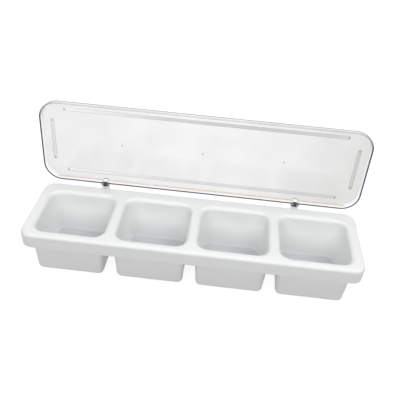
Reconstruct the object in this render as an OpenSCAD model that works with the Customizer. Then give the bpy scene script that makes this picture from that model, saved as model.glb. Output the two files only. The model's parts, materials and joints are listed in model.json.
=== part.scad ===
// Condiment caddy: a one-piece tray with a row of tubs under a common hollow rim,
// and one clear lid that stands open on two pinned hinges along the rear edge.
// Millimetres, +X along the row, +Y to the rear, +Z up. The tray stands on z = 0
// and the origin lies under the middle of the caddy with its lid open.

/* [Tray] */
// Length of the tray over its rim
tray_l = 466; // [390:4:570]
// Depth of the tray over its rim, front to rear
tray_w = 126; // [105:1:160]
// Height of the rim's top face above the table
tray_h = 70; // [55:1:82]
// Thickness of the moulded walls
wall = 2.6; // [2.2:0.1:3.4]
// Thickness of the tub floors
floor_t = 3; // [2:0.1:5]
// Height of the rim's outer face
skirt_h = 22.5; // [18:0.5:30]
// Draft of the rim's outer face in degrees: it leans in towards its lower edge
skirt_draft = 1; // [1:0.5:6]
// Corner radius of the rim, seen from above
rim_corner = 16; // [14:1:34]
// Radius of the rim's outer top edge
rim_round = 4.5; // [2:0.1:5]
// Radius of the rim's outer lower edge
skirt_round = 1.2; // [0.6:0.1:2]
// Radius of the cove where a tub's outer wall meets the underside of the rim
cove_round = 5.5; // [2:0.5:5.5]
// Diameter of the vent in the underside of the hollow rim
vent_d = 3; // [2:0.5:4]

/* [Tubs] */
// Number of tubs in the row
tub_count = 4; // [2:1:5]
// Width of the land between two tubs, wall to wall
divider_w = 15.5; // [14:0.5:24]
// Width of the rim at each end, outer face to tub wall
end_land = 15.75; // [15:0.25:26]
// Width of the rim along the front, outer face to tub wall
front_land = 13.5; // [12:0.25:20]
// Width of the rim along the rear, which carries the hinges
rear_land = 21.75; // [16:0.25:30]
// Corner radius of a tub at its mouth
tub_corner = 16; // [15:0.5:22]
// Draft of the tub walls in degrees
tub_draft = 4.5; // [2:0.5:5]
// Radius of a tub's mouth, where it rolls over into the rim
mouth_round = 6; // [2:0.5:6]
// Radius between a tub's walls and its floor
floor_round = 5; // [3:0.5:6]
// How far a tub's outer wall stands outside its mouth, at the sides and the rear
outer_side = 1.6; // [1.2:0.1:2.2]
// How far a tub's outer wall stands outside its mouth, at the front
outer_front = 6.9; // [5:0.1:6.9]
// Corner radius of a tub's outer wall, under the rim
outer_corner = 11; // [10.5:0.5:16]
// Draft of a tub's outer wall in degrees
outer_draft = 4; // [2:0.5:4.5]
// Radius between a tub's outer wall and its underside
foot_round = 7; // [4:0.5:8]

/* [Lid] */
// How far the closed lid reaches past the rim at each end
lid_reach = 1.5; // [0:0.1:3]
// How far the closed lid stays inside the rim's front and rear faces
lid_inset = 0.5; // [0.3:0.1:3]
// Thickness of the clear sheet
lid_t = 2.2; // [1.8:0.1:3]
// Height of the lid over its edge
lid_h = 9.5; // [8.5:0.5:14]
// Draft of the lid's skirt in degrees: it spreads towards its edge
lid_draft = 2; // [0.5:0.5:5]
// Corner radius of the lid
lid_corner = 26; // [18:1:36]
// Radius of the lid's outer edge
lid_round = 3; // [2.5:0.1:4]
// Clearance between the rim and the closed lid
lid_gap = 0.3; // [0.2:0.1:1]
// How far the lid stands open, in degrees from closed
lid_open = 93; // [60:1:100]
// Width of the raised ribs on the lid's inner face
rib_w = 5; // [3:0.5:8]
// Height of the ribs
rib_h = 0.8; // [0.6:0.1:2]
// Distance from the lid's long edges to a long rib
rib_side = 10; // [8:0.5:16]
// Distance from the lid's short edges to a short rib
rib_end = 17; // [12:0.5:24]
// Distance from the lid's short edges to the tip of a long rib
long_rib_tip = 38; // [30:1:60]
// Distance from the lid's long edges to the tip of a short rib
short_rib_tip = 34; // [28:1:44]
// Diameter of the gate marks along the lid's middle
gate_d = 4; // [2:0.5:6]

/* [Hinges] */
// Distance of each hinge from the middle of the tray
hinge_x = 143.5; // [100:0.5:180]
// How far the hinge axis lies behind the tray's rear face
axis_back = 2.2; // [2:0.1:4]
// How far the hinge axis lies above the rim
axis_up = 4.5; // [4.3:0.1:6]
// Radius of the dark knuckle
knuckle_r = 3.4; // [2.8:0.1:4.1]
// Width of the knuckle
knuckle_w = 4.8; // [4:0.1:7]
// Thickness of the tang that plugs into the tray
tang_t = 3.2; // [2.6:0.1:4]
// Length of the tang inside its pocket
tang_l = 8.5; // [6:0.5:10]
// Radius of the hinge pin
pin_r = 1.2; // [1:0.1:1.5]
// Width of each of the lid's lugs
lug_w = 3.2; // [2.4:0.1:5]
// How much smaller the lugs' radius is than the knuckle's
lug_ease = 0.4; // [0.2:0.1:0.8]
// How far the pin's ends stay inside the lugs' outer faces
pin_sunk = 0.2; // [0:0.1:0.6]
// Gap beside the knuckle, in the lid's slot
slot_gap = 0.5; // [0.3:0.1:1]
// How far the slot runs into the lid's sheet
slot_in = 2; // [1:0.5:4]
// Width of the boss that holds the knuckle
boss_w = 10; // [9:0.5:14]
// Thickness of the boss behind the tang
boss_wall = 1.8; // [1.4:0.1:3]
// Radial clearance of the pin in its bores
pin_fit = 0.05; // [0.02:0.01:0.1]
// Gap between the lugs' heels and the bosses when the lid stands open
stop_gap = 0.25; // [0.15:0.05:0.5]

/* [Hidden] */
$fn = 64;

overcut = 1;
snug = 0.1;
// How deep a straight wall runs into the round that ends it, so that they cross
blend = 0.002;

white = [0.90, 0.91, 0.91];
clear = [0.86, 0.89, 0.91, 0.35];
black = [0.06, 0.06, 0.07];
steel = [0.72, 0.73, 0.75];

// Tubs fill what the lands leave
tub_l = (tray_l - 2 * end_land - (tub_count - 1) * divider_w) / tub_count;
tub_w = tray_w - front_land - rear_land;
tub_pitch = tub_l + divider_w;
tub_y = (front_land - rear_land) / 2;

mouth_x = mouth_round * (1 / cos(tub_draft) - tan(tub_draft)) - blend;
mouth_z = tray_h - mouth_round * (1 - sin(tub_draft));

// Outer walls of the tubs, where they run up into the rim's underside
skirt_z = tray_h - skirt_h;
outer_top = skirt_z + wall;
outer_l = tub_l + 2 * outer_side;
outer_w = tub_w + outer_side + outer_front;
outer_y = tub_y + (outer_side - outer_front) / 2;

// Each wall is placed by its inset from its outline, in the plane of its top
skirt_inset = rim_round * (1 - tan(skirt_draft) - 1 / cos(skirt_draft));
hollow_inset = skirt_inset + wall * (tan(skirt_draft) + 1 / cos(skirt_draft));
hollow_round = rim_round - wall / 2;
hollow_top = tray_h - wall;
vent_y = (tray_w / 2 + outer_y + outer_w / 2) / 2;

// Hinge axis, and the lid's closed place about it
axis_y = tray_w / 2 + axis_back;
axis_z = tray_h + axis_up;
lid_l = tray_l + 2 * lid_reach;
lid_w = tray_w - 2 * lid_inset;
lid_z = tray_h + lid_gap;
lid_rear = lid_w / 2;
lid_top_inset = lid_h * tan(lid_draft);
lid_inner_inset = (lid_h - lid_t) * tan(lid_draft) + lid_t / cos(lid_draft);
lid_inner_round = lid_round - lid_t / 2;
rib_round = rib_h * 0.6;
lug_r = knuckle_r - lug_ease;
bore_r = pin_r + pin_fit;
slot_w = knuckle_w + 2 * slot_gap;
pin_l = slot_w + 2 * (lug_w - pin_sunk);

// Boss and its pocket. The boss grows out of the rim's rounded edge
boss_top = axis_z - knuckle_r - snug;
boss_root = tray_w / 2 - rim_round * 2 / 3;
boss_back = axis_y + tang_t / 2 + boss_wall;
pocket_z = boss_top - tang_l - snug;
boss_bottom = pocket_z - wall / 2;
boss_foot = tray_w / 2 - skirt_inset - (skirt_h - wall) * tan(skirt_draft) - wall / 2;

// Heel of a lug: its lowest corner meets the boss's top when the lid stands open
heel = (knuckle_r + snug - stop_gap) / (sin(lid_open) - min(cos(lid_open), 0));

// Rearmost point of the open lid: the round along its free edge
tip_inset = lid_top_inset + lid_round * (1 / cos(lid_draft) - tan(lid_draft));
lid_tip_y = axis_y + lid_round
    + (tip_inset - lid_rear - axis_y) * cos(lid_open)
    + (lid_z + lid_h - lid_round - axis_z) * sin(lid_open);
tray_y = (tray_w / 2 - max(lid_tip_y, boss_back)) / 2;

// Solid on a rounded rectangle. The children draw its section inwards from the
// outline at x = 0 to the middle at -$half. The section runs along all four
// sides and round the corners
module rounded_form(l, w, r) {
    rotate([90, 0, 90])
        translate([0, 0, r - l / 2])
            linear_extrude(l - 2 * r) both_halves(w / 2) children();
    if (w > 2 * r)
        rotate([90, 0, 0])
            translate([0, 0, r - w / 2])
                linear_extrude(w - 2 * r) both_halves(l / 2) children();
    for (x = [0, 1], y = [0, 1])
        mirror([x, 0, 0])
            mirror([0, y, 0])
                translate([l / 2 - r, w / 2 - r, 0])
                    rotate_extrude(angle = 90) one_half(r) children();
}

module one_half(size) {
    $half = size;
    translate([size, 0]) children();
}

module both_halves(size) {
    for (flip = [0, 1])
        mirror([flip, 0]) one_half(size) children();
}

// Section that narrows downwards to a rounded foot. Its wall reaches the outline
// at the top
module foot_section(base, top, round, draft) {
    x = -(top - base - round) * tan(draft) - round / cos(draft);
    polygon([
        [-$half, base],
        [x, base],
        [x + (round - blend) * cos(draft), base + round - (round - blend) * sin(draft)],
        [0, top],
        [-$half, top],
    ]);
    translate([x, base + round])
        intersection() {
            circle(round);
            translate([0, -round]) square(round);
        }
}

// Section with a rounded top edge. Its wall leans in downwards by the draft, or
// outwards if the draft is negative
module brow_section(inset, base, top, round, draft) {
    x = -inset - round * (tan(draft) + 1 / cos(draft));
    polygon([
        [-$half, base],
        [-inset - (top - base) * tan(draft), base],
        [x + (round - blend) * cos(draft), top - round - (round - blend) * sin(draft)],
        [x, top],
        [-$half, top],
    ]);
    translate([x, top - round]) circle(round);
}

// Section of a tub's mouth, where its wall rolls over into the rim
module mouth_section() {
    difference() {
        polygon([
            [-$half, mouth_z],
            [mouth_x, mouth_z],
            [mouth_x, tray_h + overcut],
            [-$half, tray_h + overcut],
        ]);
        translate([mouth_x, tray_h - mouth_round]) circle(mouth_round);
    }
}

// Section of the rim: a rounded top edge, a drafted face and a rounded lower edge
module rim_section() {
    lower = skirt_round - blend;
    foot_z = skirt_z + skirt_round;
    x = -skirt_inset - (tray_h - foot_z) * tan(skirt_draft) - skirt_round / cos(skirt_draft);
    difference() {
        brow_section(skirt_inset, skirt_z, tray_h, rim_round, skirt_draft);
        polygon([
            [x, skirt_z - overcut],
            [overcut, skirt_z - overcut],
            [overcut, foot_z - lower * sin(skirt_draft)],
            [x, foot_z - lower * sin(skirt_draft)],
        ]);
    }
    translate([x, foot_z]) circle(skirt_round);
}

// Section of the cove round a tub, from its outer wall to the rim's underside
module cove_section() {
    centre_z = skirt_z - cove_round + blend;
    x = cove_round / cos(outer_draft) - (outer_top - centre_z) * tan(outer_draft) - blend;
    difference() {
        polygon([
            [-wall, centre_z + cove_round * sin(outer_draft)],
            [x, centre_z + cove_round * sin(outer_draft)],
            [x, skirt_z + wall / 2],
            [-wall, skirt_z + wall / 2],
        ]);
        translate([x, centre_z]) circle(cove_round);
    }
}

// Section of a tub's wall inside the hollow rim, with a haunch under its mouth
module skin_section() {
    x = wall / cos(tub_draft);
    polygon([
        [-$half, skirt_z],
        [x - skirt_h * tan(tub_draft), skirt_z],
        [x - mouth_round * tan(tub_draft), tray_h - mouth_round],
        [x + mouth_round - wall, tray_h],
        [-$half, tray_h],
    ]);
}

module rim_outside() {
    rounded_form(tray_l, tray_w, rim_corner) rim_section();
}

module rim_hollow() {
    difference() {
        rounded_form(tray_l, tray_w, rim_corner)
            brow_section(hollow_inset, outer_top, hollow_top, hollow_round, skirt_draft);
        at_tubs() rounded_form(tub_l, tub_w, tub_corner) skin_section();
    }
    translate([0, vent_y, skirt_z - overcut])
        cylinder(d = vent_d, h = wall + 2 * overcut);
}

// Hollow in the front wall of a tub, open to the hollow rim above it
module front_hollow() {
    length = outer_l - 2 * outer_corner;
    top = outer_top + overcut;
    bottom = floor_t + floor_round;
    back = -tub_w / 2 - (wall + snug) / cos(tub_draft);
    front = -tub_w / 2 - outer_front + wall / cos(outer_draft);
    rotate([90, 0, 90])
        translate([0, 0, -length / 2])
            linear_extrude(length)
                polygon([
                    [front + (outer_top - bottom) * tan(outer_draft), bottom],
                    [back + (tray_h - bottom) * tan(tub_draft), bottom],
                    [back + (tray_h - top) * tan(tub_draft), top],
                    [front + (outer_top - top) * tan(outer_draft), top],
                ]);
}

module tub_outside() {
    translate([0, outer_y - tub_y, 0])
        rounded_form(outer_l, outer_w, outer_corner) {
            foot_section(0, outer_top, foot_round, outer_draft);
            cove_section();
        }
}

module tub_inside() {
    rounded_form(tub_l, tub_w, tub_corner) {
        foot_section(floor_t, tray_h, floor_round, tub_draft);
        mouth_section();
    }
}

module at_tubs() {
    for (i = [0:tub_count - 1])
        translate([(i - (tub_count - 1) / 2) * tub_pitch, tub_y, 0])
            children();
}

module at_hinges() {
    for (side = [-1, 1])
        translate([side * hinge_x, 0, 0]) children();
}

// Boss behind the rim that holds a knuckle's tang
module hinge_boss() {
    rotate([90, 0, 90])
        translate([0, 0, -boss_w / 2])
            linear_extrude(boss_w)
                polygon([
                    [boss_root, tray_h - lid_gap],
                    [tray_w / 2 + snug, tray_h - lid_gap],
                    [tray_w / 2 + snug, boss_top],
                    [boss_back, boss_top],
                    [boss_back, boss_bottom],
                    [boss_foot, skirt_z + wall],
                ]);
}

module tang_pocket() {
    translate([-knuckle_w / 2 - snug, axis_y - tang_t / 2 - snug, pocket_z])
        cube([knuckle_w + 2 * snug, tang_t + 2 * snug, boss_top - pocket_z + overcut]);
}

module tray() {
    color(white)
        translate([0, tray_y, 0])
            difference() {
                union() {
                    rim_outside();
                    at_tubs() tub_outside();
                    at_hinges() hinge_boss();
                }
                rim_hollow();
                at_tubs() {
                    front_hollow();
                    tub_inside();
                }
                at_hinges() tang_pocket();
            }
}

// Shallow box of clear sheet, open below
module lid_shell() {
    difference() {
        rounded_form(lid_l, lid_w, lid_corner)
            brow_section(lid_top_inset, 0, lid_h, lid_round, -lid_draft);
        rounded_form(lid_l, lid_w, lid_corner)
            brow_section(lid_inner_inset, -overcut, lid_h - lid_t, lid_inner_round,
                         -lid_draft);
    }
}

// Raised bead with round ends and a rounded brow, along X
module rib(length) {
    rotate([180, 0, 0])
        rounded_form(length, rib_w, rib_w / 2)
            brow_section(0, -lid_t / 2, rib_h, rib_round, 0);
}

// Ribs and gate marks on the sheet's inner face
module lid_beads() {
    translate([0, 0, lid_h - lid_t]) {
        for (side = [-1, 1]) {
            translate([0, side * (lid_w / 2 - rib_side - rib_w / 2), 0])
                rib(lid_l - 2 * long_rib_tip);
            translate([side * (lid_l / 2 - rib_end - rib_w / 2), 0, 0])
                rotate([0, 0, 90]) rib(lid_w - 2 * short_rib_tip);
        }
        for (quarter = [-1, 0, 1])
            translate([quarter * lid_l / 4, 0, -rib_h / 2])
                cylinder(d = gate_d, h = (rib_h + lid_t) / 2);
    }
}

// One lug: round about the pin, square at its heel, joined to the skirt
module lug() {
    translate([-lug_w / 2, axis_y, axis_z]) {
        rotate([0, 90, 0]) cylinder(r = lug_r, h = lug_w);
        cube([lug_w, heel, heel]);
        translate([0, lid_rear - lid_t / 2 - axis_y, -lug_r])
            cube([lug_w, axis_y - lid_rear + lid_t / 2, lug_r + heel]);
    }
}

// Slot in the lid's rear edge for a knuckle, and the pin's bore beside it
module hinge_slot() {
    translate([-slot_w / 2, lid_rear - lid_t - slot_in, lid_z - overcut])
        cube([slot_w, lid_t + slot_in + overcut, lid_h + 2 * overcut]);
    translate([-slot_w / 2 - lug_w - overcut, axis_y, axis_z])
        rotate([0, 90, 0]) cylinder(r = bore_r, h = slot_w + 2 * (lug_w + overcut));
}

module lid_closed() {
    difference() {
        union() {
            translate([0, 0, lid_z]) {
                lid_shell();
                lid_beads();
            }
            at_hinges()
                for (flank = [-1, 1])
                    translate([flank * (slot_w + lug_w) / 2, 0, 0]) lug();
        }
        at_hinges() hinge_slot();
    }
}

// Lid, turned open about the hinge axis
module lid() {
    color(clear)
        translate([0, tray_y + axis_y, axis_z])
            rotate([-lid_open, 0, 0])
                translate([0, -axis_y, -axis_z])
                    lid_closed();
}

// Knuckle and tang, one dark moulding
module hinge_knuckle(side) {
    color(black)
        translate([side * hinge_x - knuckle_w / 2, tray_y + axis_y, axis_z])
            difference() {
                union() {
                    rotate([0, 90, 0]) cylinder(r = knuckle_r, h = knuckle_w);
                    translate([0, -tang_t / 2, -knuckle_r - tang_l])
                        cube([knuckle_w, tang_t, knuckle_r + tang_l]);
                }
                translate([-overcut, 0, 0])
                    rotate([0, 90, 0]) cylinder(r = bore_r, h = knuckle_w + 2 * overcut);
            }
}

module hinge_pin(side) {
    color(steel)
        translate([side * hinge_x - pin_l / 2, tray_y + axis_y, axis_z])
            rotate([0, 90, 0]) cylinder(r = pin_r, h = pin_l);
}

tray();
lid();
hinge_knuckle(-1);  // hinge_knuckle_left
hinge_knuckle(1);  // hinge_knuckle_right
hinge_pin(-1);  // hinge_pin_left
hinge_pin(1);  // hinge_pin_right
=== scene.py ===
# %% [markdown]
# # A condiment caddy with a clear flip-up lid
#
# The caddy is one white moulded tray with four tubs in a row, and one long clear
# lid that leans back on two small hinges. The shapes that other parts rely on
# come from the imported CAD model, which is loaded first and never moved. Blender
# adds what the eye judges: the clear lid with its beads and marks, the softened
# hinge parts and the finish of each surface.

import json
from math import cos, degrees, pi, radians, sin

import bmesh
import bpy
from mathutils import Euler, Matrix, Vector


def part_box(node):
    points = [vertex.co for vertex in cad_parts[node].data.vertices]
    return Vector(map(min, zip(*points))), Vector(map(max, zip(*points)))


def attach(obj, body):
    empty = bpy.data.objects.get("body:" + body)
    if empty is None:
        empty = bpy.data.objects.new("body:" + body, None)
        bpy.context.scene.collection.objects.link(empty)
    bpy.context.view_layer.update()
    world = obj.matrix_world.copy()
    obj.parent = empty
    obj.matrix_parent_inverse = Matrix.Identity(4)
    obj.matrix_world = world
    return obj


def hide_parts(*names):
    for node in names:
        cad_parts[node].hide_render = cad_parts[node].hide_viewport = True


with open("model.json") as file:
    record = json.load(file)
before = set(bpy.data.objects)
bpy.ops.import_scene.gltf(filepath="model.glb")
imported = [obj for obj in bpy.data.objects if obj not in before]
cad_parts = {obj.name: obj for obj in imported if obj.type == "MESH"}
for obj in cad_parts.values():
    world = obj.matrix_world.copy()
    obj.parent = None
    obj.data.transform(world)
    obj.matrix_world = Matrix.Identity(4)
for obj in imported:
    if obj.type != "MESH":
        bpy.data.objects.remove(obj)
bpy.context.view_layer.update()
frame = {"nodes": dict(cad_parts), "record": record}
print("nodes:", ", ".join(sorted(frame["nodes"])))

# %% [markdown]
# Every size below is a real one, in millimetres, and `mm` turns it into metres,
# the unit of the scene. The hinge axis is read from a hinge pin, so that the new
# pieces meet the tray and turn about the same line as the CAD lid. The tray's
# width over its rim, the rim's height and the axis's distance behind the tray
# are those of the CAD tray too.

# %% Sizes that all the pieces share
mm = 0.001

pin_low, pin_high = [Vector(corner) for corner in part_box("hinge_pin_left")]
axis = (pin_low + pin_high) / 2
axis.x = 0
hinge_spread = abs((pin_low.x + pin_high.x) / 2)

tray_low, tray_high = [Vector(corner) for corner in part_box("tray")]
tray_l = tray_high.x - tray_low.x
tray_w = 126 * mm
rim_z = 70 * mm
axis_back = 2.2 * mm
tray_mid = Vector((0, axis.y - axis_back - tray_w / 2, 0))

lid_open = radians(frame["record"]["behaviour"]["joints"][0]["range_deg"][1])
print("hinge axis y, z in mm:", round(axis.y / mm, 2), round(axis.z / mm, 2))
print("lid stands open at", round(degrees(lid_open), 1), "degrees")

# %% [markdown]
# ## The camera
#
# A camera can be placed by eye or by solving for it. Here it stands a little
# above and in front of the tray, rolled clockwise by a few degrees, so that the
# right end of the row drops. Its place and its three turns are plain values.

# %% Camera
camera_place = tray_mid + Vector((32.73, -573.69, 540.25)) * mm
camera_turn_z = radians(2.80)
camera_down = radians(36.71)
camera_roll = radians(4.50)
camera_lens = 47.25
camera_sensor = 36
nearest_seen = 10 * mm

lens = bpy.data.cameras.new("camera")
lens.sensor_width = camera_sensor
lens.lens = camera_lens
lens.clip_start = nearest_seen
camera = bpy.data.objects.new("camera", lens)
bpy.context.scene.collection.objects.link(camera)
level = Euler((pi / 2 - camera_down, 0, camera_turn_z)).to_matrix()
turn = level @ Matrix.Rotation(camera_roll, 3, "Z")
camera.matrix_world = Matrix.Translation(camera_place) @ turn.to_4x4()
bpy.context.scene.camera = camera
print("camera at", [round(v, 3) for v in camera_place])

# %% [markdown]
# ## Light and floor
#
# White plastic on white needs soft light that still has a direction. The world,
# the floor and every finish are trees of nodes, and two short helpers make and
# join the nodes. A third one tells the rays that the eye follows, straight or by
# way of a mirror or clear plastic, from the rays that only carry light.

# %% Node helpers
MIX_RESULT, MIX_FIRST, MIX_SECOND = 2, 6, 7  # a Mix node's sockets for colours


def node(tree, kind, place=(0, 0), **values):
    """Adds a node of a kind to a tree, and sets its own values."""
    made = tree.nodes.new("ShaderNode" + kind)
    made.location = place
    for name, value in values.items():
        setattr(made, name, value)
    return made


def join(tree, out_node, out_socket, in_node, in_socket):
    """Links one node's output, by its name or number, to another node's input."""
    tree.links.new(out_node.outputs[out_socket], in_node.inputs[in_socket])


def seen_directly(tree):
    """1 where a camera, mirror or glass ray meets the surface, and 0 elsewhere."""
    path = node(tree, "LightPath", (-900, 300))
    either = node(tree, "Math", (-700, 300), operation="MAXIMUM")
    any_of = node(tree, "Math", (-500, 300), operation="MAXIMUM")
    join(tree, path, "Is Camera Ray", either, 0)
    join(tree, path, "Is Glossy Ray", either, 1)
    join(tree, either, 0, any_of, 0)
    join(tree, path, "Is Transmission Ray", any_of, 1)
    return any_of


# %% [markdown]
# The world could be one white colour, but then it would light the tray alike from
# all sides, and the walls would lose their shape. So the eye sees white, while
# the light that the world gives is weak and only fills the shadows.

# %% World
fill_light = 0.17

world = bpy.data.worlds.new("pale_studio")
world.use_nodes = True
tree = world.node_tree
tree.nodes.clear()
fill = node(tree, "Background", (-200, 100))
fill.inputs["Color"].default_value = (0.98, 0.99, 1.0, 1)
fill.inputs["Strength"].default_value = fill_light
white = node(tree, "Background", (-200, -50))
white.inputs["Color"].default_value = (1, 1, 1, 1)
mix = node(tree, "MixShader", (50, 50))
out = node(tree, "OutputWorld", (250, 50))
join(tree, seen_directly(tree), 0, mix, 0)
join(tree, fill, 0, mix, 1)
join(tree, white, 0, mix, 2)
join(tree, mix, 0, out, 0)
bpy.context.scene.world = world
bpy.context.scene.view_settings.view_transform = "Standard"
print("world:", world.name, "with a fill of", fill_light)

# %% [markdown]
# Suns and spots throw hard shadows. Broad area lamps give the soft steps from one
# face to the next that moulded plastic shows. The lamp in front and the one at
# the right carry most of the light, the one above lifts the faces that look up,
# and two behind keep the back of the caddy pale. The low one behind would draw
# its own mirror image along the lid's edge, so mirrors don't see it.

# %% Lamps
lamp_aim = Vector((0, 0, 40 * mm))


def soft_lamp(name, place, width, depth, watts):
    """A broad lamp that looks at the caddy. Its place and sides are in metres."""
    light = bpy.data.lights.new(name, "AREA")
    light.shape = "RECTANGLE"
    light.size = width
    light.size_y = depth
    light.energy = watts
    lamp = bpy.data.objects.new(name, light)
    bpy.context.scene.collection.objects.link(lamp)
    lamp.location = place
    lamp.rotation_euler = (lamp_aim - Vector(place)).to_track_quat("-Z", "Y").to_euler()
    return lamp


soft_lamp("overhead_lamp", (-0.3, -0.1, 1.6), width=1.4, depth=1.0, watts=6)
soft_lamp("front_lamp", (-0.1, -1.40, 0.92), width=1.8, depth=0.8, watts=14.2)
soft_lamp("right_lamp", (0.95, 0, 1.45), width=0.9, depth=0.9, watts=8.3)
soft_lamp("rear_lamp", (0, 0.8, 1.5), width=1.2, depth=0.7, watts=4)
low_rear_lamp = soft_lamp("low_rear_lamp", (-0.9, 1.3, 0.42), width=1.0, depth=0.5, watts=5)
low_rear_lamp.visible_glossy = False
print("lamps:", [light.name for light in bpy.data.lights])

# %% [markdown]
# The floor is pale too, and what the camera and the mirrors see of it is nearly
# white, with a faint shadow under the caddy. If it were as pale for the light
# that it throws back, the sides of the tubs would be as bright as the rim, so
# for that light it is a middle grey.

# %% Floor
floor_size = 6
floor_tone = 0.35
floor_glow = 0.87
shadow_tone = 0.28

bpy.ops.object.select_all(action="DESELECT")
bpy.ops.mesh.primitive_plane_add(size=floor_size)
floor = bpy.context.active_object
floor.name = "floor"
paint = bpy.data.materials.new("pale_floor")
paint.use_nodes = True
tree = paint.node_tree
tree.nodes.clear()
bounce = node(tree, "BsdfDiffuse", (-200, 200))
bounce.inputs["Color"].default_value = (floor_tone, floor_tone, floor_tone, 1)
shade = node(tree, "BsdfDiffuse", (-400, -50))
shade.inputs["Color"].default_value = (shadow_tone, shadow_tone, shadow_tone, 1)
glow = node(tree, "Emission", (-400, -200))
glow.inputs["Strength"].default_value = floor_glow
both = node(tree, "AddShader", (-200, -100))
mix = node(tree, "MixShader", (50, 50))
out = node(tree, "OutputMaterial", (250, 50))
join(tree, shade, 0, both, 0)
join(tree, glow, 0, both, 1)
join(tree, seen_directly(tree), 0, mix, 0)
join(tree, bounce, 0, mix, 1)
join(tree, both, 0, mix, 2)
join(tree, mix, 0, out, 0)
floor.data.materials.append(paint)
print("floor:", floor_size, "m across")

# %% [markdown]
# ## White moulded plastic
#
# The tray is moulded in a slightly milky, semi-gloss white plastic, and a flat
# white would look like paper. Every finish here starts from the same few steps: a
# soft noise of a known size, its spread between two values, a blend of two tones
# and a fine relief. Coordinates are the piece's own, so the pattern stays on the
# plastic when the piece moves.

# %% A new finish, and noise
def new_finish(name):
    """A material, with its tree, its main shader and its coordinates."""
    finish = bpy.data.materials.new(name)
    finish.use_nodes = True
    tree = finish.node_tree
    shader = tree.nodes["Principled BSDF"]
    place = node(tree, "TexCoord", (-1400, 0))
    return finish, tree, shader, place


def cloud(tree, place, size_mm, detail, at, stretch=(1, 1, 1)):
    """Soft noise whose blotches are about size_mm across."""
    centre = node(tree, "Mapping", (at[0] - 200, at[1]))
    centre.inputs["Scale"].default_value = stretch
    noise = node(tree, "TexNoise", at)
    noise.inputs["Scale"].default_value = 1 / (size_mm * mm)
    noise.inputs["Detail"].default_value = detail
    join(tree, place, "Object", centre, 0)
    join(tree, centre, 0, noise, 0)
    return noise


# %% [markdown]
# A noise stays near its middle and has no colour of its own. The next helpers
# give it a range, turn it into a tone, or raise the surface with it.

# %% Ranges, tones and relief
def remap(tree, source, socket, start, stop, at, **values):
    """Maps a value that goes from start to stop to one that goes from 0 to 1."""
    fit = node(tree, "MapRange", at, **values)
    fit.inputs["From Min"].default_value = start
    fit.inputs["From Max"].default_value = stop
    join(tree, source, socket, fit, 0)
    return fit


def spread(tree, noise, low, high, at):
    """Maps a noise, which stays near its middle, to the range from low to high."""
    fit = remap(tree, noise, 0, 0.3, 0.7, at)
    fit.inputs["To Min"].default_value = low
    fit.inputs["To Max"].default_value = high
    return fit


def two_tones(tree, source, first, second, at):
    """A colour between two others, by a source that goes from 0 to 1."""
    blend = node(tree, "Mix", at, data_type="RGBA")
    blend.inputs[MIX_FIRST].default_value = (*first, 1)
    blend.inputs[MIX_SECOND].default_value = (*second, 1)
    join(tree, source, 0, blend, 0)
    return blend


def skin(tree, shader, source, height_mm, at):
    """Fine relief of the surface, height_mm deep."""
    bump = node(tree, "Bump", at)
    bump.inputs["Strength"].default_value = 1
    bump.inputs["Distance"].default_value = height_mm * mm
    join(tree, source, 0, bump, "Height")
    join(tree, bump, 0, shader, "Normal")


# %% [markdown]
# The plastic's gloss and tone vary a little with its flow into the mould, its
# skin has a very fine grain, and light enters a short way before it comes back,
# which softens the edges. The floors of the tubs are painted greyer, as painted
# shade deep down in the tubs. They could have a material of their own, but it
# would end in a hard line, so they are found by their height and by how far they
# face up.

# %% White plastic
# Painted shade on the floors of the tubs: the height where it starts, the height where it is
# full, and its grey.
floor_shade_from = 12 * mm
floor_shade_full = 4 * mm
floor_shade_tone = (0.66, 0.68, 0.69)

white_plastic, tree, shader, place = new_finish("white_plastic")
flow = cloud(tree, place, 60, 3, (-900, 300))
grain = cloud(tree, place, 0.9, 4, (-900, -300))
tone = two_tones(tree, flow, (0.890, 0.897, 0.900), (0.915, 0.918, 0.916), (-500, 300))

height = node(tree, "SeparateXYZ", (-1100, 600))
join(tree, place, "Object", height, 0)
low = remap(tree, height, "Z", floor_shade_from, floor_shade_full, (-900, 600),
            interpolation_type="SMOOTHSTEP")
facing = node(tree, "SeparateXYZ", (-1100, 800))
join(tree, place, "Normal", facing, 0)
face_up = remap(tree, facing, "Z", 0.35, 0.95, (-900, 800), interpolation_type="SMOOTHSTEP")
on_floor = node(tree, "Math", (-700, 700), operation="MULTIPLY")
join(tree, low, 0, on_floor, 0)
join(tree, face_up, 0, on_floor, 1)
# The painted shade is mixed into the plastic's tone where the floors are.
floor_shade = node(tree, "Mix", (-300, 400), data_type="RGBA")
floor_shade.inputs[MIX_SECOND].default_value = (*floor_shade_tone, 1)
join(tree, on_floor, 0, floor_shade, 0)
join(tree, tone, MIX_RESULT, floor_shade, MIX_FIRST)
join(tree, floor_shade, MIX_RESULT, shader, "Base Color")

join(tree, spread(tree, flow, 0.30, 0.40, (-500, 50)), 0, shader, "Roughness")
skin(tree, shader, grain, 0.006, (-500, -300))
shader.inputs["Subsurface Weight"].default_value = 0.25
shader.inputs["Subsurface Radius"].default_value = (1.0, 1.0, 1.1)
shader.inputs["Subsurface Scale"].default_value = 3 * mm
shader.inputs["IOR"].default_value = 1.49

tray = frame["nodes"]["tray"]
tray.data.materials.clear()
tray.data.materials.append(white_plastic)
print("tray triangles:", len(tray.data.polygons))

# %% [markdown]
# ## Tools for modelling by hand
#
# The new pieces start as primitives and are shaped in edit mode. An operator
# works on everything that is selected, so each helper first clears the selection
# and then picks faces or edges by where they lie.

# %% Select
def only(piece):
    """Selects one piece and nothing else."""
    bpy.ops.object.select_all(action="DESELECT")
    piece.select_set(True)
    bpy.context.view_layer.objects.active = piece


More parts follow.
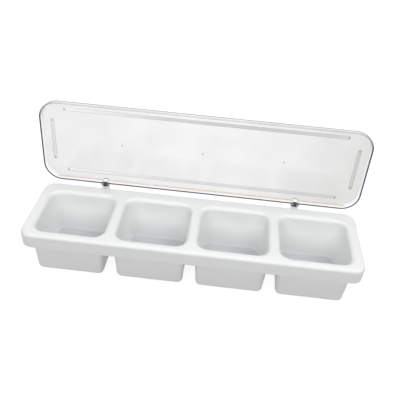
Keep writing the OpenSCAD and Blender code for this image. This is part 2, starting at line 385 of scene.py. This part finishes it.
def pick(piece, kind, test):
    """In edit mode, selects the piece's faces or edges whose points all pass a test."""
    bpy.ops.mesh.select_mode(type=kind)
    bpy.ops.mesh.select_all(action="DESELECT")
    mesh = bmesh.from_edit_mesh(piece.data)
    parts = mesh.faces if kind == "FACE" else mesh.edges
    for part in parts:
        if all(test(v.co) for v in part.verts):
            part.select_set(True)
    bmesh.update_edit_mesh(piece.data)


# %% [markdown]
# A modifier could stay live on a piece, but the next step has to work on its
# result, so each one is applied as soon as it is set.

# %% Shape, round and join
def shape_modifier(piece, kind, **values):
    """Adds a modifier, sets it and applies it."""
    only(piece)
    made = piece.modifiers.new(kind.lower(), kind)
    for name, value in values.items():
        setattr(made, name, value)
    bpy.ops.object.modifier_apply(modifier=made.name)


def settle(piece):
    """Moves a piece's place, turn and scale into its mesh."""
    only(piece)
    bpy.ops.object.transform_apply(location=True, rotation=True, scale=True)


def round_edges(piece, radius, segments, test):
    """Rounds the edges whose points all pass a test."""
    only(piece)
    bpy.ops.object.mode_set(mode="EDIT")
    pick(piece, "EDGE", test)
    bpy.ops.mesh.bevel(offset=radius, segments=segments, affect="EDGES", clamp_overlap=True)
    bpy.ops.object.mode_set(mode="OBJECT")


def break_edges(piece, width, segments):
    """Takes the sharpness off every edge where two faces meet steeply."""
    shape_modifier(piece, "BEVEL", width=width, segments=segments, limit_method="ANGLE",
                   angle_limit=radians(50))


def shade_smooth(piece):
    """Shades rounds as rounds, and keeps the real edges crisp."""
    only(piece)
    bpy.ops.object.shade_smooth_by_angle(angle=radians(35))


def fuse(piece, other, operation="UNION"):
    """Joins another solid to a piece, or with DIFFERENCE cuts it out of the piece."""
    shape_modifier(piece, "BOOLEAN", operation=operation, object=other, solver="EXACT")
    bpy.data.objects.remove(other)


# %% [markdown]
# ## The clear lid
#
# The lid is a shallow box with rounded corners, and its beads are low boxes with
# round ends, so both start as the same plate: a plane whose corners are rounded
# and which is then extruded. Rounding the corners first keeps the sides exact.

# %% A plate with round corners
def plate(name, length, width, height, corner, at, segments):
    """A block with rounded corners, standing on the point at."""
    bpy.ops.object.select_all(action="DESELECT")
    bpy.ops.mesh.primitive_plane_add(size=1, location=at)
    piece = bpy.context.active_object
    piece.name = name
    piece.scale = (length, width, 1)
    settle(piece)
    bpy.ops.object.mode_set(mode="EDIT")
    bpy.ops.mesh.select_all(action="SELECT")
    bpy.ops.mesh.bevel(offset=corner, segments=segments, affect="VERTICES")
    bpy.ops.mesh.select_all(action="SELECT")
    bpy.ops.mesh.extrude_region_move(TRANSFORM_OT_translate={"value": (0, 0, height)})
    bpy.ops.mesh.select_all(action="SELECT")
    bpy.ops.mesh.normals_make_consistent(inside=False)
    bpy.ops.object.mode_set(mode="OBJECT")
    return piece


# %% [markdown]
# The lid could be extruded as a solid and hollowed, but a real moulding has one
# wall thickness, so an open shell is shaped first and Solidify gives it its wall.
# Its sides lean in a little towards the top, as the mould needs. It is modelled
# shut, lying on the rim, because its sides are then level, and it is swung open
# at the end.

# %% Lid shell
lid_reach = 1.5 * mm
lid_inset = 0.5 * mm
lid_gap = 0.3 * mm
lid_t = 2.2 * mm
lid_h = 9.5 * mm
lid_l = tray_l + 2 * lid_reach
lid_w = tray_w - 2 * lid_inset
lid_corner = 26 * mm
lid_round = 3 * mm
lip_round = 0.4 * mm
lid_draft = radians(2)
lid_z = rim_z + lid_gap
lid_top = lid_z + lid_h
small = 0.01 * mm

lid = plate("clear_lid", lid_l, lid_w, lid_h, lid_corner, tray_mid + Vector((0, 0, lid_z)),
            segments=20)
bpy.ops.object.mode_set(mode="EDIT")
pick(lid, "FACE", lambda co: co.z > lid_top - small)
lean = 2 * lid_h * sin(lid_draft) / cos(lid_draft)
bpy.ops.transform.resize(value=(1 - lean / lid_l, 1 - lean / lid_w, 1),
                         center_override=tray_mid)
pick(lid, "FACE", lambda co: co.z < lid_z + small)
bpy.ops.mesh.delete(type="FACE")
bpy.ops.object.mode_set(mode="OBJECT")
round_edges(lid, lid_round, 8, lambda co: co.z > lid_top - small)
shape_modifier(lid, "SOLIDIFY", thickness=lid_t, offset=-1, use_even_offset=True)
round_edges(lid, lip_round, 3, lambda co: co.z < lid_z + small)
print("lid shell faces:", len(lid.data.polygons))

# %% [markdown]
# The sheet carries four low beads on its inner face that stiffen it, one along
# each side, with a small round mark at each end where a pin pushed the moulding
# out, and three gate marks along the middle, where the plastic flowed in. They
# could be drawn by bump alone, but their sides catch the light, so each one is a
# small solid that is fused to the sheet. It starts a little inside the sheet,
# because two solids that only touch don't fuse cleanly.

# %% Sizes of the beads and marks
sheet_z = lid_top - lid_t
bead_w = 5 * mm
bead_h = 0.8 * mm
bead_round = 0.75 * bead_h
bead_side = 11.1 * mm
bead_end = 13.8 * mm
bead_shift = 1.7 * mm
bead_mid = tray_mid - Vector((0, bead_shift, 0))
long_bead = lid_l - 2 * 33 * mm
short_bead = lid_w - 2 * 29.9 * mm
nearly_round = 0.98
sunk = 0.8 * mm
mark_d = 2.6 * mm
mark_h = 0.5 * mm
gate_d = 3.2 * mm
print("beads, mm:", round(long_bead / mm, 1), "and", round(short_bead / mm, 1), "long")

# %% [markdown]
# A bead is a thin plate whose lower edge is rounded, and a mark is a low disc. A
# bead could be a swept profile, but its round ends would then need caps.

# %% One bead, one mark
def bead(length, middle, crosswise):
    """A low bead with round ends that hangs below the sheet."""
    sides = (bead_w, length) if crosswise else (length, bead_w)
    at = middle + Vector((0, 0, sheet_z - bead_h))
    piece = plate("bead", *sides, bead_h + sunk, bead_w / 2 * nearly_round, at, segments=10)
    round_edges(piece, bead_round, 4, lambda co: co.z < sheet_z - bead_h + small)
    return piece


def mark(middle, diameter, height, below):
    """A low disc that hangs from the sheet, or from a bead that is below it."""
    bpy.ops.object.select_all(action="DESELECT")
    at = middle + Vector((0, 0, sheet_z - below - height / 2 + sunk / 2))
    bpy.ops.mesh.primitive_cylinder_add(vertices=24, radius=diameter / 2,
                                        depth=height + sunk, location=at)
    piece = bpy.context.active_object
    settle(piece)
    return piece


# %% [markdown]
# The beads come in pairs, and each end of a bead gets its mark. One after the
# other they become part of the sheet.

# %% Beads and marks on the lid
for side in (-1, 1):
    across = bead_mid + Vector((0, side * (lid_w / 2 - bead_side - bead_w / 2), 0))
    along = bead_mid + Vector((side * (lid_l / 2 - bead_end - bead_w / 2), 0, 0))
    fuse(lid, bead(long_bead, across, False))
    fuse(lid, bead(short_bead, along, True))
    for end in (-1, 1):
        tip = Vector((end * (long_bead / 2 - bead_w / 2), 0, 0))
        fuse(lid, mark(across + tip, mark_d, mark_h, bead_h))
        tip = Vector((0, end * (short_bead / 2 - bead_w / 2), 0))
        fuse(lid, mark(along + tip, mark_d, mark_h, bead_h))
for quarter in (-1, 0, 1):
    fuse(lid, mark(bead_mid + Vector((quarter * lid_l / 4, 0, 0)), gate_d, bead_h / 2, 0))
print("lid faces with beads:", len(lid.data.polygons))

# %% [markdown]
# The hinges need round bars and square blocks, some as stock and some as cutters
# for slots and bores.

# %% Bars and blocks
def rod(name, radius, length, at, sides):
    """A round bar along X with its middle at a point."""
    bpy.ops.object.select_all(action="DESELECT")
    bpy.ops.mesh.primitive_cylinder_add(vertices=sides, radius=radius, depth=length,
                                        location=at, rotation=(0, pi / 2, 0))
    piece = bpy.context.active_object
    piece.name = name
    settle(piece)
    return piece


def block(name, low, high):
    """A plain block between two corners, used as a cutter or as stock."""
    low, high = Vector(low), Vector(high)
    bpy.ops.object.select_all(action="DESELECT")
    bpy.ops.mesh.primitive_cube_add(size=1, location=(low + high) / 2)
    piece = bpy.context.active_object
    piece.name = name
    piece.scale = high - low
    settle(piece)
    return piece


# %% [markdown]
# Two lugs stand out from the rear edge beside each slot. A lug could be a disc
# fused to two blocks, but then the cutter has to resolve faces that lie in one
# plane. One block with a large round on its lower rear edge is the same shape and
# a clean solid. Its square heel meets the boss on the tray when the lid is open
# and holds it there, so its size follows from the angle, the axis and the gap. The
# slot lets the tray's knuckle in between the lugs, and one drill makes the pin's
# bore through both.

# %% Lugs, slots and bores
knuckle_w = 4.8 * mm
slot_gap = 0.5 * mm
slot_w = knuckle_w + 2 * slot_gap
slot_in = 2 * mm
slot_out = 6 * mm
lug_w = 3.2 * mm
lug_r = 3.0 * mm
lug_edge = 0.2 * mm
bore_r = 1.25 * mm
bore_spare = 2 * mm
boss_top = axis.z - 3.5 * mm
stop_gap = 0.25 * mm
heel = (axis.z - boss_top - stop_gap) / (sin(lid_open) - min(cos(lid_open), 0))
lid_rear = tray_mid.y + lid_w / 2


def lug(x):
    """A lug with a round lower rear edge and a square heel above it."""
    low = Vector((x - lug_w / 2, lid_rear - lid_t / 2, axis.z - lug_r))
    high = Vector((x + lug_w / 2, axis.y + heel, axis.z + heel))
    piece = block("lug", low, high)
    round_edges(piece, lug_r, 10, lambda co: co.y > high.y - small and co.z < low.z + small)
    break_edges(piece, lug_edge, 2)
    return piece


for side in (-1, 1):
    hinge = side * hinge_spread
    for flank in (-1, 1):
        fuse(lid, lug(hinge + flank * (slot_w + lug_w) / 2))
    slot = block("slot", (hinge - slot_w / 2, lid_rear - lid_t - slot_in, lid_z - mm),
                 (hinge + slot_w / 2, lid_rear + slot_out, lid_top + mm))
    fuse(lid, slot, "DIFFERENCE")
    drill = rod("drill", bore_r, slot_w + 2 * lug_w + bore_spare, (hinge, axis.y, axis.z), 32)
    fuse(lid, drill, "DIFFERENCE")
    print("lid faces with this hinge's lugs and slot:", len(lid.data.polygons))

# %% [markdown]
# Clear plastic looks different where light runs along it, and here that is painted
# into the tint of each kind of face. The end face of its wall is tinted dark and
# slightly blue, partly as the inside of the sheet looks and partly as painted
# shade. A rounded edge gets a painted line of light where it would bend the light
# into a line, and a bead's faces get painted grey shade. The faces are sorted into
# finishes now, while the lid still lies level and a face can be found by its
# height and the way it looks.

# %% Sort the lid's faces
kinds = ("clear_plastic", "clear_plastic_skirt", "clear_plastic_round", "clear_plastic_edge",
         "clear_plastic_bead", "clear_plastic_front_bead", "clear_plastic_rear_bead",
         "clear_plastic_mark", "clear_plastic_lug")
SHEET, SKIRT, ROUND, EDGE, BEAD, FRONT_BEAD, REAR_BEAD, MARK, LUG = range(len(kinds))
lid.data.materials.clear()
for kind in kinds:
    lid.data.materials.append(bpy.data.materials.new(kind))

inner_x = lid_l / 2 - 12.5 * mm
inner_y = lid_w / 2 - 9 * mm
slot_end = lid_w / 2 - lid_t - slot_in
lip_top = lid_z + lip_round + 2 * small
upright, level_up = 0.12, 0.98  # a normal's height on a wall, and on the flat top


def kind_of(face):
    """The finish of a face, by its place and the way it looks."""
    off = face.center - tray_mid
    height = face.center.z
    look_up = face.normal.z
    in_slot = (off.y > slot_end - small
               and abs(abs(off.x) - hinge_spread) < slot_w / 2 + small)
    if abs(off.y) > lid_w / 2 + small:
        return LUG
    if height < lip_top or in_slot and abs(look_up) < upright:
        return EDGE
    if abs(off.x) < inner_x and abs(off.y) < inner_y and height < sheet_z - small:
        on_gate = abs(off.y + bead_shift) < gate_d and abs(off.x) < lid_l / 3
        if on_gate or height < sheet_z - bead_h - small:
            return MARK
        # The front and rear long beads are kept apart, so that each gets its own painted
        # shade along the lid.
        if abs(off.y) > lid_w / 3:
            return FRONT_BEAD if off.y < 0 else REAR_BEAD
        return BEAD
    if height > lid_top - lid_round and upright < look_up < level_up:
        return ROUND
    return SKIRT if abs(look_up) < upright else SHEET


counts = [0] * len(kinds)
for face in lid.data.polygons:
    face.material_index = kind_of(face)
    counts[face.material_index] += 1
print("faces of each kind:", dict(zip(kinds, counts)))

# %% [markdown]
# The finished lid turns about the hinge axis into its open place. Its place is
# then moved into its mesh, so that patterns on it are measured from the same
# origin as on every other piece.

# %% Swing the lid open
lid.matrix_world = (Matrix.Translation(axis) @ Matrix.Rotation(-lid_open, 4, "X")
                    @ Matrix.Translation(-axis))
settle(lid)
shade_smooth(lid)
print("lid faces:", len(lid.data.polygons))

# %% [markdown]
# ## Clear plastic
#
# Clear sheet can be made as real refracting glass or as a thin film. Real glass
# needs a background to bend, and on a pale table there is none, so a film shows
# the same and renders clean. Each surface lets most light through with a grey
# tint, and takes more where it is seen at a low angle, as the longer way through
# the wall does. It also mirrors a little, and more at a low angle. The Fresnel
# node can't be used for that, because at low angles it makes the far side of a
# closed film a full mirror, so the share is worked out from Layer Weight, which is
# the same on both sides of a face.

# %% A tint that changes along an axis
def ramp_along(tree, place, axis_name, stops, at):
    """A colour that goes through stops, each a place in mm and a tone, along an axis."""
    first, last = stops[0][0], stops[-1][0]
    split = node(tree, "SeparateXYZ", (at[0] - 400, at[1]))
    join(tree, place, "Object", split, 0)
    along = remap(tree, split, axis_name, first * mm, last * mm, (at[0] - 200, at[1]))
    ramp = node(tree, "ValToRGB", at)
    points = ramp.color_ramp.elements
    while len(points) < len(stops):
        points.new(0.5)
    for point, (where, tone) in zip(points, stops):
        point.position = (where - first) / (last - first)
        point.color = (*tone, 1)
    join(tree, along, 0, ramp, 0)
    return ramp


def grey(value, blue=0):
    """A grey that lets a share of the light through, and a little more of the blue."""
    return value, value, value + blue


# %% [markdown]
# The film joins three things: what comes through, by the tint along the axis with
# a faint haze in it, how much darker that gets at a low angle, and the mirror.

# %% The film
mirror_least = 0.04
mirror_rise = 5
mirror_tone = (0.9, 0.91, 0.93)


def clear_finish(finish, axis_name, stops, low_angle, turn, gloss):
    """A film: a tint with stops along an axis, a darker tone at low angles, a mirror."""
    finish.use_nodes = True
    tree = finish.node_tree
    tree.nodes.clear()
    place = node(tree, "TexCoord", (-1800, 0))
    facing = node(tree, "LayerWeight", (-1200, 300))
    facing.inputs["Blend"].default_value = 0.5

    body = ramp_along(tree, place, axis_name, stops, (-800, -200))
    haze = spread(tree, cloud(tree, place, 60, 2, (-1200, 0)), 0.965, 1, (-1000, 0))
    veil = node(tree, "Mix", (-600, -100), data_type="RGBA", blend_type="MULTIPLY")
    veil.inputs["Factor"].default_value = 1
    join(tree, body, 0, veil, MIX_FIRST)
    join(tree, haze, 0, veil, MIX_SECOND)
    low = remap(tree, facing, "Facing", *turn, (-1000, 300), interpolation_type="SMOOTHSTEP")
    tint = node(tree, "Mix", (-400, 100), data_type="RGBA")
    tint.inputs[MIX_SECOND].default_value = (*low_angle, 1)
    join(tree, low, 0, tint, 0)
    join(tree, veil, MIX_RESULT, tint, MIX_FIRST)
    through = node(tree, "BsdfTransparent", (-200, 100))
    join(tree, tint, MIX_RESULT, through, "Color")

    mirror = node(tree, "BsdfGlossy", (-200, -100))
    mirror.inputs["Roughness"].default_value = gloss
    mirror.inputs["Color"].default_value = (*mirror_tone, 1)
    rise = node(tree, "Math", (-400, 400), operation="POWER")
    rise.inputs[1].default_value = mirror_rise
    share = node(tree, "Math", (-200, 400), operation="MULTIPLY_ADD")
    share.inputs[1].default_value = 1 - mirror_least
    share.inputs[2].default_value = mirror_least
    join(tree, facing, "Facing", rise, 0)
    join(tree, rise, 0, share, 0)

    blend = node(tree, "MixShader", (50, 100))
    out = node(tree, "OutputMaterial", (250, 100))
    join(tree, share, 0, blend, 0)
    join(tree, through, 0, blend, 1)
    join(tree, mirror, 0, blend, 2)
    join(tree, blend, 0, out, 0)


# %% [markdown]
# Each kind of face gets its own stops, in millimetres along X or up Z, and the
# stops paint light and shade. The sheet is clearest in its middle, and its ends
# are painted darker, the right end most, as painted shade and reflection. The
# rounded edge has a painted warm line of light beside the hinges, and its upper
# side is painted dark, as shade against the light behind it. The wall's end face is
# navy along the bottom and the ends, and painted light at the top. The beads and
# marks are painted greyer or paler along the lid, as painted shade and reflection.
# `turn` says how low the angle is at which a face starts to darken, and at which
# it is fully dark.

# %% Clear finishes
looks = {
    # Painted shade and reflection: the sheet's ends are darker, the right end most.
    SHEET: dict(
        axis_name="X", low_angle=grey(0.42, 0.06), turn=(0.74, 0.97), gloss=0.03,
        stops=((-230, grey(0.885, 0.006)), (-50, grey(0.915)), (80, grey(0.915)),
               (230, grey(0.835, -0.006)))),
    SKIRT: dict(
        axis_name="Z", low_angle=grey(0.50, 0.06), turn=(0.78, 0.98), gloss=0.03,
        stops=((70, grey(0.98)), (205, grey(0.98)))),
    # Painted light and shade: a warm line of light low on the rounded edge, and shade on its
    # upper side.
    ROUND: dict(
        axis_name="Z", low_angle=grey(0.30, 0.05), turn=(0.55, 0.97), gloss=0.10,
        stops=((77.0, grey(0.95)), (78.2, (0.62, 0.53, 0.42)), (80.2, grey(0.95)),
               (170, grey(0.84)), (192, grey(0.46)))),
    # Painted light: the end face of the wall turns light at the top.
    EDGE: dict(
        axis_name="Z", low_angle=grey(0.03, 0.03), turn=(0.50, 0.95), gloss=0.08,
        stops=((70, grey(0.08, 0.05)), (181, grey(0.04, 0.04)), (199, grey(0.90)))),
    # Painted shade and reflection: the beads and marks below are greyer or paler by where
    # they lie along the lid.
    BEAD: dict(
        axis_name="X", low_angle=grey(0.13), turn=(0.18, 0.50), gloss=0.05,
        stops=((-230, grey(0.62)), (-205, grey(0.94)), (205, grey(0.92)),
               (230, grey(0.46)))),
    FRONT_BEAD: dict(
        axis_name="X", low_angle=grey(0.13), turn=(0.18, 0.50), gloss=0.05,
        stops=((-210, grey(0.94)), (-140, grey(0.86)), (-50, grey(0.66)), (50, grey(0.62)),
               (130, grey(0.64)), (210, grey(0.74)))),
    REAR_BEAD: dict(
        axis_name="X", low_angle=grey(0.13), turn=(0.18, 0.50), gloss=0.05,
        stops=((-210, grey(0.95)), (-100, grey(0.86)), (0, grey(0.76)), (210, grey(0.74)))),
    MARK: dict(
        axis_name="X", low_angle=grey(0.36), turn=(0.30, 0.90), gloss=0.05,
        stops=((-230, grey(0.50)), (-160, grey(0.50)), (-140, grey(0.66)),
               (140, grey(0.66)), (160, grey(0.45)), (230, grey(0.45)))),
    LUG: dict(
        axis_name="Z", low_angle=grey(0.30, 0.04), turn=(0.40, 0.98), gloss=0.06,
        stops=((65, grey(0.84, 0.03)), (85, grey(0.84, 0.03)))),
}
for kind, look in looks.items():
    clear_finish(lid.data.materials[kind], **look)
    print("finish:", kinds[kind], "with", len(look["stops"]), "stops")
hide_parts("lid")
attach(lid, "lid")

# %% [markdown]
# ## Hinges
#
# Each hinge is a small black moulding, a round knuckle on a flat tang that plugs
# into the tray, with a steel pin through it. Black plastic is never quite black:
# it has a satin gloss that varies a little, and a fine grain. The pin is cut from
# drawn wire, whose fine lines run along it, as a noise stretched along X does.

# %% Hinge finishes
black_plastic, tree, shader, place = new_finish("black_plastic")
grain = cloud(tree, place, 0.5, 3, (-900, -300))
wear = cloud(tree, place, 4, 2, (-900, 200))
tone = two_tones(tree, wear, (0.018, 0.018, 0.022), (0.035, 0.035, 0.040), (-500, 300))
join(tree, tone, MIX_RESULT, shader, "Base Color")
join(tree, spread(tree, wear, 0.38, 0.55, (-500, 50)), 0, shader, "Roughness")
skin(tree, shader, grain, 0.01, (-500, -300))

steel, tree, shader, place = new_finish("steel")
lines = cloud(tree, place, 0.25, 3, (-900, -100), stretch=(0.08, 1, 1))
tone = two_tones(tree, lines, (0.56, 0.57, 0.59), (0.70, 0.71, 0.72), (-500, 300))
join(tree, tone, MIX_RESULT, shader, "Base Color")
join(tree, spread(tree, lines, 0.22, 0.38, (-500, 50)), 0, shader, "Roughness")
shader.inputs["Metallic"].default_value = 1
skin(tree, shader, lines, 0.004, (-500, -300))
print("finishes:", black_plastic.name, "and", steel.name)

# %% [markdown]
# The barrel and the tang could be two pieces that pass through each other, but a
# moulding is one solid, so they are fused, and their edges are broken, because a
# moulded part has no knife edges. The pin is a little shorter than the lugs are
# wide, and its ends are rounded so that it can be driven in.

# %% Knuckles and pins
knuckle_r = 3.4 * mm
knuckle_edge = 0.3 * mm
tang_t = 3.2 * mm
tang_l = 8.5 * mm
pin_r = 1.2 * mm
pin_l = pin_high.x - pin_low.x
pin_edge = 0.25 * mm

for side, word in ((-1, "left"), (1, "right")):
    at = axis + Vector((side * hinge_spread, 0, 0))
    knuckle = rod("knuckle_" + word, knuckle_r, knuckle_w, at, 48)
    half = Vector((knuckle_w / 2, tang_t / 2, 0))
    low = at - half - Vector((0, 0, knuckle_r + tang_l))
    fuse(knuckle, block("tang", low, at + half))
    break_edges(knuckle, knuckle_edge, 3)
    fuse(knuckle, rod("drill", bore_r, knuckle_w + bore_spare, at, 32), "DIFFERENCE")
    shade_smooth(knuckle)
    knuckle.data.materials.append(black_plastic)
    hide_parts("hinge_knuckle_" + word)
    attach(knuckle, "tray")

    pin = rod("pin_" + word, pin_r, pin_l, at, 32)
    break_edges(pin, pin_edge, 2)
    shade_smooth(pin)
    pin.data.materials.append(steel)
    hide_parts("hinge_pin_" + word)
    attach(pin, "tray")
    print(word, "hinge faces:", len(knuckle.data.polygons), len(pin.data.polygons))

# %% [markdown]
# ## Last step
#
# The view layer is brought up to date before the scene is finished.

# %% Finish
bpy.context.view_layer.update()
